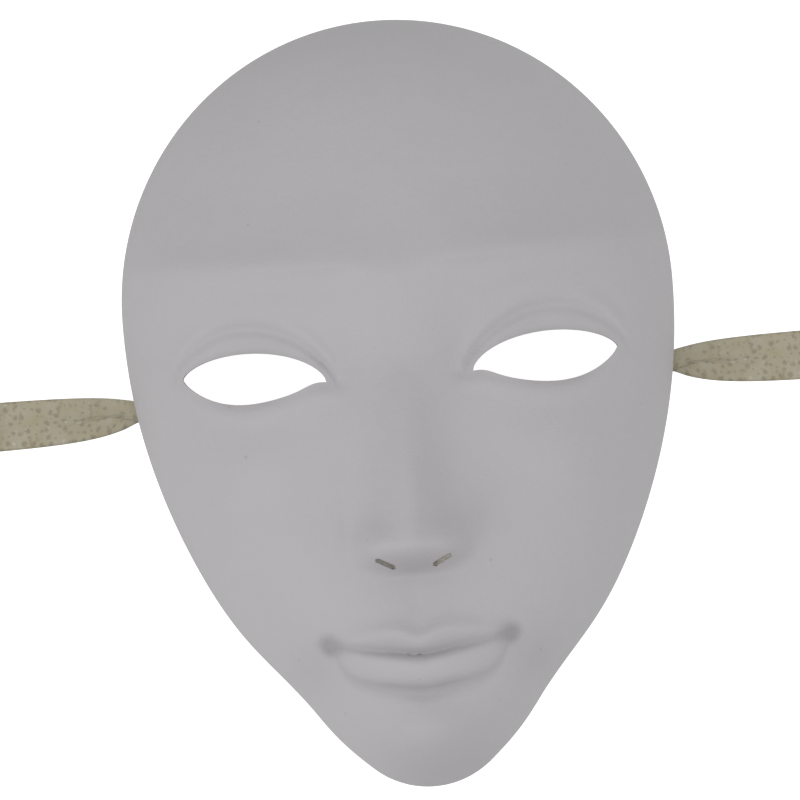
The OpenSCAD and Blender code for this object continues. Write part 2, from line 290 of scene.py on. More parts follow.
def outward(face, t, s, eased=0):
    """The skin's direction away from the wearer, kept symmetric on the middle line."""
    k = np.clip(s, 0.01, 0.9995)
    before, after = np.maximum(t - 0.003, 0), np.minimum(t + 0.003, 3)
    down = face.skin(after, k, eased) - face.skin(before, k, eased)
    out = face.skin(t, k + 0.0004, eased) - face.skin(t, k - 0.0004, eased)
    n = np.cross(out, down)
    n[..., 0] = np.where((s == 0) | (t == 0) | (t == 3), 0, n[..., 0])
    return unit(n) * np.where(n[..., 2:] < 0, -1, 1)


def eye_outline(face, count=120):
    """Points round an eye opening, from its inner corner along the lower edge."""
    k = (1 - np.cos(np.linspace(0, math.pi, count))) / 2
    x = face.eye_x + face.eye_w * k
    _, upper, lower = face.lid(x)
    return np.stack([np.r_[x, x[-2:0:-1]], np.r_[lower, upper[-2:0:-1]]], -1)


def slit_outline(face, count=24):
    """Points round a nostril slit."""
    turn = np.linspace(0, 2 * math.pi, count, endpoint=False)
    long = (face.slit_l - face.slit_w) / 2
    x = np.cos(turn) * face.slit_w / 2 + long * np.sign(np.cos(turn))
    y = np.sin(turn) * face.slit_w / 2
    tilt = math.radians(30)
    return np.stack([
        face.slit_x + x * math.cos(tilt) - y * math.sin(tilt),
        face.nose_y - face.slit_drop + x * math.sin(tilt) + y * math.cos(tilt),
    ], -1)


def to_outline(points, outline):
    """Signed distance of each point from a closed outline, under 0 inside, and its foot."""
    a, b = outline, np.roll(outline, -1, 0)
    step = b - a
    k = ((points[:, None] - a) * step).sum(-1) / np.maximum((step**2).sum(-1), 1e-12)
    foot = a + np.clip(k, 0, 1)[..., None] * step
    gap = np.linalg.norm(points[:, None] - foot, axis=-1)
    best = gap.argmin(1)
    rows = np.arange(len(points))
    py = points[:, None, 1]
    crosses = (a[:, 1] > py) != (b[:, 1] > py)
    height = np.where(step[:, 1] == 0, 1, step[:, 1])
    at_x = a[:, 0] + (py - a[:, 1]) / height * step[:, 0]
    inside = (crosses & (points[:, None, 0] < at_x)).sum(1) % 2 == 1
    return gap[rows, best] * np.where(inside, -1, 1), foot[rows, best]


def move_to(face, t, s, goal, rounds=5, step=1e-4):
    """The places and shares at which the skin has these x and y."""
    for _ in range(rounds):
        here = face.skin(t, s)[:, :2]
        d_t = (face.skin(t + step, s)[:, :2] - here) / step
        d_s = (face.skin(t, s + step)[:, :2] - here) / step
        miss = goal - here
        det = d_t[:, 0] * d_s[:, 1] - d_t[:, 1] * d_s[:, 0]
        t = t + (miss[:, 0] * d_s[:, 1] - miss[:, 1] * d_s[:, 0]) / det
        s = s + (d_t[:, 0] * miss[:, 1] - d_t[:, 1] * miss[:, 0]) / det
    return t, s


def cut_outline(face, t, s, side, outline, corners):
    """Move the grid's nearest points onto an outline, in place.

    side is marked too, under 0 inside the opening and 0 on its edge.
    """
    flat = face.skin(t, s)[..., :2]
    low, high = outline.min(0) - 4, outline.max(0) + 4
    near = ((flat > low) & (flat < high)).all(-1)
    gap, foot = np.full(t.shape, FAR), flat.copy()
    gap[near], foot[near] = to_outline(flat[near], outline)
    moved = np.zeros(t.shape, bool)
    for a, b in ((np.s_[:-1, :], np.s_[1:, :]), (np.s_[:, :-1], np.s_[:, 1:])):
        split = gap[a] * gap[b] < 0
        first = np.abs(gap[a]) <= np.abs(gap[b])
        moved[a] |= split & first
        moved[b] |= split & ~first
    for corner in corners:
        far = np.linalg.norm(flat - corner, axis=-1)
        spot = np.unravel_index(far.argmin(), far.shape)
        foot[spot] = corner
        moved[spot] = True
    t[moved], s[moved] = move_to(face, t[moved], s[moved], foot[moved])
    side[near] = np.minimum(side[near], gap[near])
    side[moved] = 0


def grid_faces(side, middle):
    """Faces of the half grid outside its openings.

    middle says if a cell with all its corners on an edge lies outside.
    """
    rows, cols = side.shape
    spot = np.arange(rows * cols).reshape(rows, cols)
    ring = [spot[:-1, :-1], spot[:-1, 1:], spot[1:, 1:], spot[1:, :-1]]
    quads = np.stack([c.ravel() for c in ring], -1)
    signs = np.sign(side.ravel()[quads])
    kept = quads[(signs.min(1) >= 0) & ((signs.max(1) > 0) | middle(quads))].tolist()
    for quad, sign in zip(quads, signs):
        if sign.min() < 0 < sign.max():
            first = 0 if sign[0] == 0 and sign[2] == 0 else 1
            order = [quad[(first + n) % 4] for n in range(4)]
            far = [sign[(first + n) % 4] for n in range(4)]
            if far[1] > 0:
                kept.append([order[0], order[1], order[2]])
            if far[3] > 0:
                kept.append([order[0], order[2], order[3]])
    return [f for f in kept if len(set(f)) > 2]


def mirrored(points, faces, on_middle):
    """The half grid and its mirror image as one mesh, joined on the middle line."""
    count = len(points)
    other = np.arange(count) + count
    other[on_middle] = np.flatnonzero(on_middle)
    flip = points * [-1, 1, 1]
    both = np.concatenate([points, flip])
    return both, faces + [[int(other[v]) for v in reversed(f)] for f in faces]


def boundary(faces):
    """Directed edges that only one face has, as that face runs them."""
    seen = {}
    for f in faces:
        for a, b in zip(f, f[1:] + f[:1]):
            seen[(a, b)] = True
    return [(a, b) for a, b in seen if (b, a) not in seen]


def walled(outer, inner, normals, faces, bulge, steps=6):
    """A closed shell from two skins, with round edges at the rim and the openings."""
    count = len(outer)
    edges = boundary(faces)
    lip = sorted({v for edge in edges for v in edge})
    place = {v: n for n, v in enumerate(lip)}
    away = np.zeros((len(lip), 3))
    for a, b in edges:
        out = unit(np.cross(outer[b] - outer[a], normals[a] + normals[b]))
        away[place[a]] += out
        away[place[b]] += out
    a, b = np.array([[place[v] for v in edge] for edge in edges]).T
    for _ in range(4):
        beside = 2 * away
        beside[a] += away[b]
        beside[b] += away[a]
        away = unit(beside)
    rows = []
    for n in range(1, steps):
        turn = math.pi * n / steps
        deep = 0.5 - 0.5 * np.sign(math.cos(turn)) * abs(math.cos(turn)) ** 0.8
        rows.append(mix(outer[lip], inner[lip], deep) + away * bulge * math.sin(turn) ** 0.7)
    points = np.concatenate([outer, inner, *rows])

    def layer(n, v):
        if n == 0:
            return v
        return count + v if n == steps else 2 * count + (n - 1) * len(lip) + place[v]

    walls = [
        [layer(n, a), layer(n, b), layer(n + 1, b), layer(n + 1, a)]
        for a, b in edges for n in range(steps)
    ]
    wear = np.zeros(len(points))
    wear[2 * count :] = 1
    wear[lip] = 0.8
    through = np.repeat(np.arange(1, steps) / steps, len(lip))
    inside = np.r_[np.zeros(count), np.ones(count), through]
    skins = [f[::-1] for f in faces] + [[v + count for v in f] for f in faces]
    return points, skins + walls, {"wear": wear, "inside": inside}


def make_mesh(name, points, faces, values=None, facing=None):
    """An object from points in millimetres, with values kept at its points.

    Where facing isn't zero, it gives the normal.
    """
    used = np.zeros(len(points), bool)
    for f in faces:
        used[f] = True
    place = np.cumsum(used) - 1
    mesh = bpy.data.meshes.new(name)
    mesh.from_pydata(
        (np.asarray(points)[used] * MM).tolist(), [], [[int(place[v]) for v in f] for f in faces]
    )
    for key, value in (values or {}).items():
        value = np.asarray(value, float)[used]
        form, slot = ("FLOAT", "value") if value.ndim == 1 else ("FLOAT_VECTOR", "vector")
        mesh.attributes.new(key, form, "POINT").data.foreach_set(slot, value.ravel())
    mesh.polygons.foreach_set("use_smooth", [True] * len(mesh.polygons))
    if facing is not None:
        own = np.array([normal.vector for normal in mesh.vertex_normals])
        known = np.abs(facing[used]).sum(1, keepdims=True) > 0
        mesh.normals_split_custom_set_from_vertices(np.where(known, facing[used], own).tolist())
    obj = bpy.data.objects.new(name, mesh)
    bpy.context.scene.collection.objects.link(obj)
    return obj


def build_shell(face, around, rings, edge):
    """The moulded shell: two skins on half a grid, cut, mirrored and joined at their edges."""
    crown, side_count, chin = round(around * 0.25), round(around * 0.64), round(around * 0.11)
    t = np.r_[
        np.linspace(0, 1, crown, endpoint=False),
        np.linspace(1, 2, side_count, endpoint=False),
        np.linspace(2, 3, chin + 1),
    ]
    s = np.sin(np.linspace(0, math.pi / 2 - edge / face.dome_h, rings + 1))
    t, s = (np.array(a) for a in np.broadcast_arrays(t[None, :], s[:, None]))
    side = np.full(t.shape, FAR)
    eye, slit = eye_outline(face), slit_outline(face)
    cut_outline(face, t, s, side, eye, [eye[0], eye[len(eye) // 2]])
    straight = bell(np.maximum(side, 0) / EDGE_BAND)[..., None]
    cut_outline(face, t, s, side, slit, [])
    skin = face.skin(t, s)
    normals = outward(face, t, s)
    flat = skin[..., :2].reshape(-1, 2)

    def middle(quads):
        mid = flat[quads].mean(1)
        return (to_outline(mid, eye)[0] > 0) & (to_outline(mid, slit)[0] > 0)

    faces = [f[::-1] for f in grid_faces(side, middle)]
    on_middle = ((s == 0) | (t == 0) | (t == 3)).ravel()
    eased = outward(face, t, s, EASED)
    way = unit(mix(eased, np.array([0, 0, 1.0]), straight))
    lean = np.maximum((way * eased).sum(-1, keepdims=True), 0.3)
    inner = face.skin(t, s, EASED) - way * face.wall / lean
    thinnest = skin[..., 2] - THINNEST * face.wall * eased[..., 2]
    inner[..., 2] = np.minimum(inner[..., 2], thinnest)
    inner[on_middle.reshape(t.shape), 0] = 0
    skin[on_middle.reshape(t.shape), 0] = 0
    points, all_faces = mirrored(skin.reshape(-1, 3), faces, on_middle)
    inside = mirrored(inner.reshape(-1, 3), [], on_middle)[0]
    directions = mirrored(normals.reshape(-1, 3), [], on_middle)[0]
    near = side[..., None] < EDGE_BAND
    before = mirrored((normals * near).reshape(-1, 3), [], on_middle)[0]
    behind = mirrored((eased * near).reshape(-1, 3), [], on_middle)[0]
    points, faces, values = walled(points, inside, directions, all_faces, edge)
    # Painted shade for the paint, kept to the outer skin
    values["hollow"] = face.hollows(points[:, 0], points[:, 1]) * (values["inside"] < 0.3)
    facing = np.zeros(points.shape)
    facing[: 2 * len(behind)] = np.concatenate([before, -behind])
    return points, faces, values, facing


# ---------------------------------------------------------------- ribbons, glue and ties


def even_steps(points, step, length):
    """A line through the points in equal steps, cut to a length, and its steps along."""
    gaps = np.linalg.norm(np.diff(points, axis=0), axis=1)
    along = np.r_[0, np.cumsum(gaps)]
    places = np.linspace(0, length, round(length / step) + 1)
    return np.stack([np.interp(places, along, points[:, n]) for n in range(3)], -1), places


def smoothed(line, rounds):
    """The same line with its corners eased."""
    for _ in range(rounds):
        line = np.r_[line[:1], (line[:-2] + 2 * line[1:-1] + line[2:]) / 4, line[-1:]]
    return line


def wall_point(face, t, height, deep):
    """A point on the side wall, a height over the rim and a depth under the skin."""
    s = np.sqrt(1 - (height / (face.dome_h - face.rim_arch)) ** 2)
    t, s = np.broadcast_arrays(np.asarray(t, float), s)
    return face.skin(t, s) - outward(face, t, s) * np.asarray(deep)[..., None]


def ribbon_line(face, sizes, low_y, far_y, folds_from, rough):
    """The middle of one ribbon, from its glued end to the loose end of its folds."""
    place = face.side_place(low_y)
    heights = np.linspace(sizes.tab, 2.6, 12)
    wall = wall_point(face, place, heights, np.full(12, sizes.depth))
    rim_x, rim_y = (float(v) for v in face.rim_point(np.array(place)))
    lie = [[rim_x - 2.4, rim_y, 1.4], [rim_x - 1.2, rim_y, 1.1], [rim_x + 1.2, rim_y, 1.1]]
    for k in np.linspace(0.06, 1, 24):
        x = mix(rim_x + 1.2, folds_from, k)
        wave = 0.16 * (1 - math.cos(12 * k)) * bell((k - 0.6) / 0.35)
        z = mix(1.1, 0.2, ramp(0, 0.32, k)) + wave + 0.7 * ramp(0.74, 1, k)
        lie.append([x, mix(low_y, far_y, 1 - math.exp(-(x - rim_x) / 13)), z])
    folds = []
    z, side = 0.9, 1
    for n in range(10):
        here, there = folds_from + 3.2 + rough[n], folds_from + sizes.folds + rough[n + 1]
        if side < 0:
            here, there = there, here
        xs = np.linspace(here, there, 14)
        yaw = rough[n] * 0.35 * (xs - folds_from - sizes.folds / 2) / sizes.folds
        squeeze = 1.2 + 0.06 * rough[n] - 0.36 * bell((xs - folds_from - 31) / 12)
        folds += [[x, far_y + y, (z - 0.6) * q + 0.6] for x, y, q in zip(xs, yaw, squeeze)]
        bulge = sizes.pitch / 2
        folds.append([there + side * bulge * 1.5, far_y + yaw[-1], (z + bulge) * 1.15])
        z, side = z + sizes.pitch, -side
    return np.array([*wall, *lie, *folds])


def ribbon_mesh(face, sizes, sign, low_y, far_y, folds_from, rough, across=27):
    """One ribbon as a thin closed strip, pleated in three where it is gathered."""
    line = ribbon_line(face, sizes, low_y, far_y, folds_from, rough)
    line, along = even_steps(line, 0.25, sizes.length)
    line = smoothed(line, 6)
    keep = np.r_[0 : len(line) : 3, len(line) - 1]
    line, along = line[keep], along[keep]
    way = unit(np.gradient(line, axis=0))
    side = np.array([[0, 1.0, 0]])
    up = unit(np.cross(way, side))
    rim_x = float(face.rim_point(np.array(face.side_place(low_y)))[0])
    past = np.maximum(line[:, 0] - rim_x, 0) * (along > sizes.tab)
    past = np.maximum.accumulate(past)
    open_k = (1 - np.exp(-past / 11))[:, None]
    v = np.linspace(-1, 1, across)[None, :]
    pleat = 2 * np.abs((1.5 * (v + 1)) % 2 - 1) - 1
    layer = np.tanh(v * 3.2) / np.tanh(3.2)
    flat_half, tight_half = sizes.width / 2, sizes.gather / 2
    across_y = mix(-pleat * tight_half, v * flat_half, open_k)
    lift = mix(layer * 0.38, 0, open_k) + 0.25 * bell((past[:, None] - 9) / 6) * np.cos(v * 5)
    lift = lift + 0.05 * np.sin(along[:, None] / 3.1 + 5 * v) * open_k
    mid = line[:, None] + side[:, None] * across_y[..., None] + up[:, None] * lift[..., None]
    mid[..., 2] = np.maximum(mid[..., 2], 0.16)
    du, dv = np.gradient(mid, axis=0), np.gradient(mid, axis=1)
    n = unit(np.cross(du, dv))
    thick = sizes.thick / 2 * (1 - 0.5 * np.abs(v) ** 12)[..., None]
    rows, cols = mid.shape[:2]
    points = np.concatenate([(mid + n * thick).reshape(-1, 3), (mid - n * thick).reshape(-1, 3)])
    flat = np.stack(np.broadcast_arrays(along[:, None], v * flat_half, 0.0), -1).reshape(-1, 3)
    spot = np.arange(rows * cols).reshape(rows, cols)
    quads = np.stack([spot[:-1, :-1], spot[1:, :-1], spot[1:, 1:], spot[:-1, 1:]], -1)
    top = quads.reshape(-1, 4).tolist()
    count = rows * cols
    ring = np.r_[spot[0, :], spot[1:, -1], spot[-1, -2::-1], spot[-2:0:-1, 0]].tolist()
    edge = [[b, a, a + count, b + count] for a, b in zip(ring, ring[1:] + ring[:1])]
    faces = top + [[q + count for q in reversed(f)] for f in top] + edge
    points = points * [sign, 1, 1]
    if sign < 0:
        faces = [f[::-1] for f in faces]
    return points, faces, {"flat": np.concatenate([flat, flat])}


def glue_mesh(face, sizes, sign, mid_y, seed, count=48):
    """A flattened blob of glue on the inside of the wall, over the ribbon's end."""
    rng = np.random.default_rng(seed)
    place = face.side_place(mid_y)
    per_mm = 1 / (face.side_r * face.side_turn)
    a, b = np.meshgrid(np.linspace(-1, 1, count), np.linspace(-1, 1, count))
    r = np.maximum((np.abs(a) ** 2.6 + np.abs(b) ** 2.6) ** (1 / 2.6), 1e-6)
    square = np.maximum(np.abs(a), np.abs(b))
    ring = square / r
    turn = np.arctan2(b, a)
    wobble = 1 + 0.05 * np.sin(3 * turn + seed) + 0.035 * np.sin(5 * turn + 2 * seed) - 0.06
    u, w = a * ring * wobble, b * ring * wobble
    high = np.sqrt(np.maximum(1 - square**2.6, 0))
    bumps = sum(
        rng.uniform(0.08, 0.2) * bell((u - rng.uniform(-0.6, 0.6)) / 0.3)
        * bell((w - rng.uniform(-0.6, 0.6)) / 0.3) for _ in range(5)
    )
    ridge = 0.72 + 0.2 * bell(u * sizes.glue_w / sizes.gather) + bumps
    t = place + u * sizes.glue_w / 2 * per_mm
    height = sizes.glue_low + sizes.glue_l * (w + 1) / 2
    skin_side = wall_point(face, t, height, np.full(u.shape, face.wall + 0.03))
    deep = face.wall + 0.05 + high * np.minimum(ridge, 1) * sizes.glue_t
    top = wall_point(face, t, height, deep)
    spot = np.arange(count * count).reshape(count, count)
    quads = np.stack([spot[:-1, :-1], spot[:-1, 1:], spot[1:, 1:], spot[1:, :-1]], -1)
    front = quads.reshape(-1, 4).tolist()
    n = count * count
    rim = np.r_[spot[0, :], spot[1:, -1], spot[-1, -2::-1], spot[-2:0:-1, 0]].tolist()
    edge = [[p, q, q + n, p + n] for p, q in zip(rim, rim[1:] + rim[:1])]
    faces = [f[::-1] for f in front] + [[v + n for v in f] for f in front] + edge
    points = np.concatenate([top.reshape(-1, 3), skin_side.reshape(-1, 3)]) * [sign, 1, 1]
    return points, faces if sign < 0 else [f[::-1] for f in faces]


def tube(line, radius, sides=10):
    """A round thread along a line, with its length and turn at each point."""
    way = unit(np.gradient(line, axis=0))
    side = unit(np.cross(way[0], [0.31, 0.17, 0.94]))
    frames = []
    for w in way:
        side = unit(side - w * (side @ w))
        frames.append((side, np.cross(w, side)))
    turn = np.linspace(0, 2 * math.pi, sides, endpoint=False)
    rings = [
        p + radius * (np.cos(turn)[:, None] * a + np.sin(turn)[:, None] * b)
        for p, (a, b) in zip(line, frames)
    ]
    along = np.r_[0, np.cumsum(np.linalg.norm(np.diff(line, axis=0), axis=1))]
    spot = np.arange(len(line) * sides).reshape(len(line), sides)
    nxt = np.roll(spot, -1, 1)
    quads = np.stack([spot[:-1], nxt[:-1], nxt[1:], spot[1:]], -1).reshape(-1, 4).tolist()
    faces = quads + [spot[0, ::-1].tolist(), spot[-1].tolist()]
    flat = np.stack(np.broadcast_arrays(along[:, None], turn[None, :], 0.0), -1).reshape(-1, 3)
    return np.concatenate(rings), faces, {"flat": flat}


def tie_line(sizes, x, y):
    """Thread wound round the folds, then knotted on top with two short ends."""
    half_y, low, high = sizes.width / 2 + 0.45, 0.27, 5.2
    mid_z, half_z = (low + high) / 2, (high - low) / 2
    turns = 5
    a = np.linspace(0, 2 * math.pi * turns, 64 * turns)

    def squircle(c):
        return np.sign(c) * np.abs(c) ** 0.42

    ys, zs = y + half_y * squircle(np.sin(a)), mid_z + half_z * squircle(np.cos(a))
    xs = x - 1.25 + 2.5 * a / a[-1] + 0.1 * np.sin(3.7 * a)
    wound = np.stack([xs, ys, np.maximum(zs, low)], -1)
    top = high + 0.25

    def loop(side):
        return [
            [x + 0.4 * side, y + side * 0.6, top + 0.35],
            [x + 1.6 * side, y + side * 3.2, top + 0.8],
            [x + 2.8 * side, y + side * 4.6, top + 0.5],
            [x + 2.2 * side, y + side * 5.0, top + 0.15],
            [x + 0.9 * side, y + side * 2.6, top + 0.3],
            [x, y + side * 0.3, top + 0.7],
        ]

    def tail(side):
        return [
            [x - 0.5 * side, y + side * 0.8, top + 0.5],
            [x - 2.0 * side, y + side * 2.6, top + 0.2],
            [x - 4.2 * side, y + side * 3.8, top + 0.05],
            [x - 6.0 * side, y + side * 4.2, top + 0.02],
        ]

    knot = [*tail(1)[::-1], *loop(1), *loop(-1), *tail(-1)]
    line, _ = even_steps(np.array(knot), 0.25, 40)
    return wound, smoothed(line, 8)


# ---------------------------------------------------------------- finishes


def node_group(name, inputs, outputs):
    group = bpy.data.node_groups.new(name, "ShaderNodeTree")
    for key, kind, value in inputs:
        socket = group.interface.new_socket(name=key, in_out="INPUT", socket_type=kind)
        if value is not None:
            socket.default_value = value
    for key, kind in outputs:
        group.interface.new_socket(name=key, in_out="OUTPUT", socket_type=kind)
    return group, group.nodes.new("NodeGroupInput"), group.nodes.new("NodeGroupOutput")


def feed(tree, node, inputs):
    """Link or set each of a node's inputs."""
    for key, value in inputs.items():
        if isinstance(value, bpy.types.NodeSocket):
            tree.links.new(value, node.inputs[key])
        else:
            node.inputs[key].default_value = value
    return node


def add_node(tree, kind, inputs, **settings):
    """A node with its settings, its input values and what feeds it."""
    node = tree.nodes.new(kind)
    for key, value in settings.items():
        setattr(node, key, value)
    return feed(tree, node, inputs)


def maths(tree, operation, *values):
    """What a math node makes of its values."""
    inputs = dict(enumerate(values))
    return add_node(tree, "ShaderNodeMath", inputs, operation=operation).outputs[0]


def scaled_by(tree, vector, scale):
    inputs = {0: vector, "Scale": scale}
    return add_node(tree, "ShaderNodeVectorMath", inputs, operation="SCALE").outputs[0]


def ranged(tree, value, low, high, to_low=0.0, to_high=1.0):
    """A value moved from one range to another."""
    inputs = {"Value": value, "From Min": low, "From Max": high, "To Min": to_low, "To Max": to_high}
    return add_node(tree, "ShaderNodeMapRange", inputs).outputs["Result"]


def fleck_group():
    """Grain of a material at one size: a mask of soft flecks and a height."""
    group, start, end = node_group(
        "Grain",
        [("Vector", "NodeSocketVector", None), ("Size", "NodeSocketFloat", 1.0),
         ("Stretch", "NodeSocketVector", (1, 1, 1)), ("Contrast", "NodeSocketFloat", 1.0)],
        [("Mask", "NodeSocketFloat"), ("Height", "NodeSocketFloat")],
    )
    inverse = maths(group, "DIVIDE", 1.0, start.outputs["Size"])
    spread = add_node(
        group, "ShaderNodeVectorMath",
        {0: start.outputs["Vector"], 1: start.outputs["Stretch"]}, operation="MULTIPLY",
    )
    scaled = scaled_by(group, spread.outputs[0], inverse)
    noise = add_node(
        group, "ShaderNodeTexNoise",
        {"Vector": scaled, "Scale": 1.0, "Detail": 3.0, "Roughness": 0.6},
    )
    centred = maths(group, "SUBTRACT", noise.outputs[0], 0.5)
    strong = add_node(
        group, "ShaderNodeMath", {0: centred, 1: start.outputs["Contrast"], 2: 0.5},
        operation="MULTIPLY_ADD", use_clamp=True,
    )
    group.links.new(strong.outputs[0], end.inputs["Mask"])
    group.links.new(noise.outputs[0], end.inputs["Height"])
    return group


def spot_group():
    """Scattered irregular spots, as a mask from 0 to 1."""
    group, start, end = node_group(
        "Scattered Spots",
        [("Vector", "NodeSocketVector", None), ("Pitch", "NodeSocketFloat", 1.0),
         ("Radius", "NodeSocketFloat", 0.3), ("Softness", "NodeSocketFloat", 0.1),
         ("Roughness", "NodeSocketFloat", 0.3)],
        [("Mask", "NodeSocketFloat")],
    )
    inverse = maths(group, "DIVIDE", 1.0, start.outputs["Pitch"])
    scaled = scaled_by(group, start.outputs["Vector"], inverse)
    wander = add_node(group, "ShaderNodeTexNoise", {"Vector": scaled, "Scale": 2.3, "Detail": 2.0})
    bent = scaled_by(group, wander.outputs["Color"], start.outputs["Roughness"])
    moved = add_node(group, "ShaderNodeVectorMath", {0: scaled, 1: bent}, operation="ADD")
    cells = add_node(
        group, "ShaderNodeTexVoronoi",
        {"Vector": moved.outputs[0], "Scale": 1.0, "Randomness": 0.85}, feature="F1",
    )
    edge = maths(group, "ADD", start.outputs["Radius"], start.outputs["Softness"])
    mask = ranged(group, cells.outputs["Distance"], edge, start.outputs["Radius"])
    group.links.new(mask, end.inputs["Mask"])
    return group


def weave_group():
    """A fine plain weave over a length and a width in millimetres."""
    group, start, end = node_group(
        "Weave",
        [("Vector", "NodeSocketVector", None), ("Threads", "NodeSocketFloat", 6.0)],
        [("Height", "NodeSocketFloat"), ("Mask", "NodeSocketFloat")],
    )
    scaled = scaled_by(group, start.outputs["Vector"], start.outputs["Threads"])
    apart = add_node(group, "ShaderNodeSeparateXYZ", {0: scaled})
    waves = []
    for axis, stretch in (("X", math.pi), ("Y", math.pi * 1.6)):
        turn = maths(group, "MULTIPLY", apart.outputs[axis], stretch)
        waves.append(maths(group, "ABSOLUTE", maths(group, "SINE", turn)))
    high = maths(group, "MULTIPLY", *waves)
    group.links.new(high, end.inputs["Height"])
    mask = add_node(
        group, "ShaderNodeMath", {0: high, 1: 1.5}, operation="MULTIPLY", use_clamp=True
    )
    group.links.new(mask.outputs[0], end.inputs["Mask"])
    return group


def shared(name, maker):
    return bpy.data.node_groups.get(name) or maker()


def placed(tree, group, inputs):
    return feed(tree, add_node(tree, "ShaderNodeGroup", {}, node_tree=group), inputs)


def grained(tree, at, size, contrast, stretch=(1, 1, 1)):
    inputs = {"Vector": at, "Size": size, "Stretch": stretch, "Contrast": contrast}
    return placed(tree, shared("Grain", fleck_group), inputs)


def spotted(tree, at, pitch, radius, softness, ragged):
    inputs = {
        "Vector": at, "Pitch": pitch, "Radius": radius, "Softness": softness, "Roughness": ragged,
    }
    return placed(tree, shared("Scattered Spots", spot_group), inputs)


def woven(tree, at, threads):
    return placed(tree, shared("Weave", weave_group), {"Vector": at, "Threads": threads})


def blended(tree, amount, below, above):
    """Two colours mixed by an amount."""
    node = add_node(tree, "ShaderNodeMix", {0: amount}, data_type="RGBA")
    for key, value in ((6, below), (7, above)):
        feed(tree, node, {key: value if isinstance(value, bpy.types.NodeSocket) else (*value, 1)})
    return node.outputs[2]


def times(tree, value, amount, plus=0.0):
    return maths(tree, "MULTIPLY_ADD", value, amount, plus)


def added(tree, *values):
    total = values[0]
    for value in values[1:]:
        total = maths(tree, "ADD", total, value)
    return total


def material(name):
    m = bpy.data.materials.new(name)
    m.use_nodes = True
    return m, m.node_tree, m.node_tree.nodes["Principled BSDF"]


def bumped(tree, shader, height, depth):
    """Feed the surface's normal from a height, which a depth in metres scales."""
    bump = add_node(tree, "ShaderNodeBump", {"Height": height, "Distance": depth, "Strength": 1.0})
    tree.links.new(bump.outputs[0], shader.inputs["Normal"])


def painted(tree, shader, colour, rough):
    tree.links.new(colour, shader.inputs["Base Color"])
    tree.links.new(rough, shader.inputs["Roughness"])


def object_mm(tree):
    return scaled_by(tree, tree.nodes.new("ShaderNodeTexCoord").outputs["Object"], 1 / MM)


def stored(tree, name):
    return add_node(tree, "ShaderNodeAttribute", {}, attribute_name=name)


def paper_finish(colours):
    """Primed paper pulp: matt paint outside, with shade painted into its creases, bare grey pulp inside
    and on the cut edges.
    """
    m, tree, shader = material("primed_paper")
    at = object_mm(tree)
    cloud = grained(tree, at, 26.0, 1.1)
    patch = grained(tree, at, 5.0, 1.2)
    fine = grained(tree, at, 0.55, 1.0)
    fibre = grained(tree, at, 0.9, 2.0, (0.3, 1.0, 0.6))
    specks = spotted(tree, at, 13.0, 0.02, 0.025, 0.25)
    paint = blended(tree, cloud.outputs["Mask"], colours.paint_low, colours.paint)
    paint = blended(tree, times(tree, patch.outputs["Mask"], 0.5), paint, colours.paint_pale)
    paint = blended(tree, times(tree, fine.outputs["Mask"], 0.35), paint, colours.paint_low)
    paint = blended(tree, times(tree, specks.outputs["Mask"], 0.3), paint, colours.speck)
    # Painted shade: the paint darkened in the face's creases, along the lid edges and over the brow
    hollow = stored(tree, "hollow").outputs["Fac"]
    paint = blended(tree, times(tree, hollow, 0.6), paint, colours.hollow)
    pulp = blended(tree, fibre.outputs["Mask"], colours.pulp, colours.pulp_fibre)
    pulp = blended(tree, times(tree, patch.outputs["Mask"], 0.5), pulp, colours.pulp_dark)
    inside, wear = stored(tree, "inside").outputs["Fac"], stored(tree, "wear").outputs["Fac"]
    border = added(tree, inside, times(tree, patch.outputs["Height"], 0.5, -0.25))
    ragged = ranged(tree, border, 0.25, 0.45)
    colour = blended(tree, ragged, paint, pulp)
    worn = added(tree, wear, times(tree, fine.outputs["Height"], 1.2, -0.6))
    chipped = ranged(tree, worn, 0.75, 1.05, to_high=0.45)
    colour = blended(tree, chipped, colour, colours.pulp_fibre)
    rough = added(tree, times(tree, patch.outputs["Mask"], 0.4), times(tree, ragged, 0.6))
    painted(tree, shader, colour, ranged(tree, rough, 0.0, 1.0, 0.62, 0.92))
    shader.inputs["Specular IOR Level"].default_value = 0.35
    screen = times(tree, woven(tree, at, 0.55).outputs["Height"], 0.22)
    bare = added(tree, times(tree, fibre.outputs["Height"], 0.5), screen)
    height = added(
        tree,
        times(tree, patch.outputs["Height"], 0.6),
        times(tree, fine.outputs["Height"], 0.2),
        times(tree, specks.outputs["Mask"], 0.12),
        maths(tree, "MULTIPLY", ragged, bare),
    )
    bumped(tree, shader, height, 0.5 * MM)
    return m


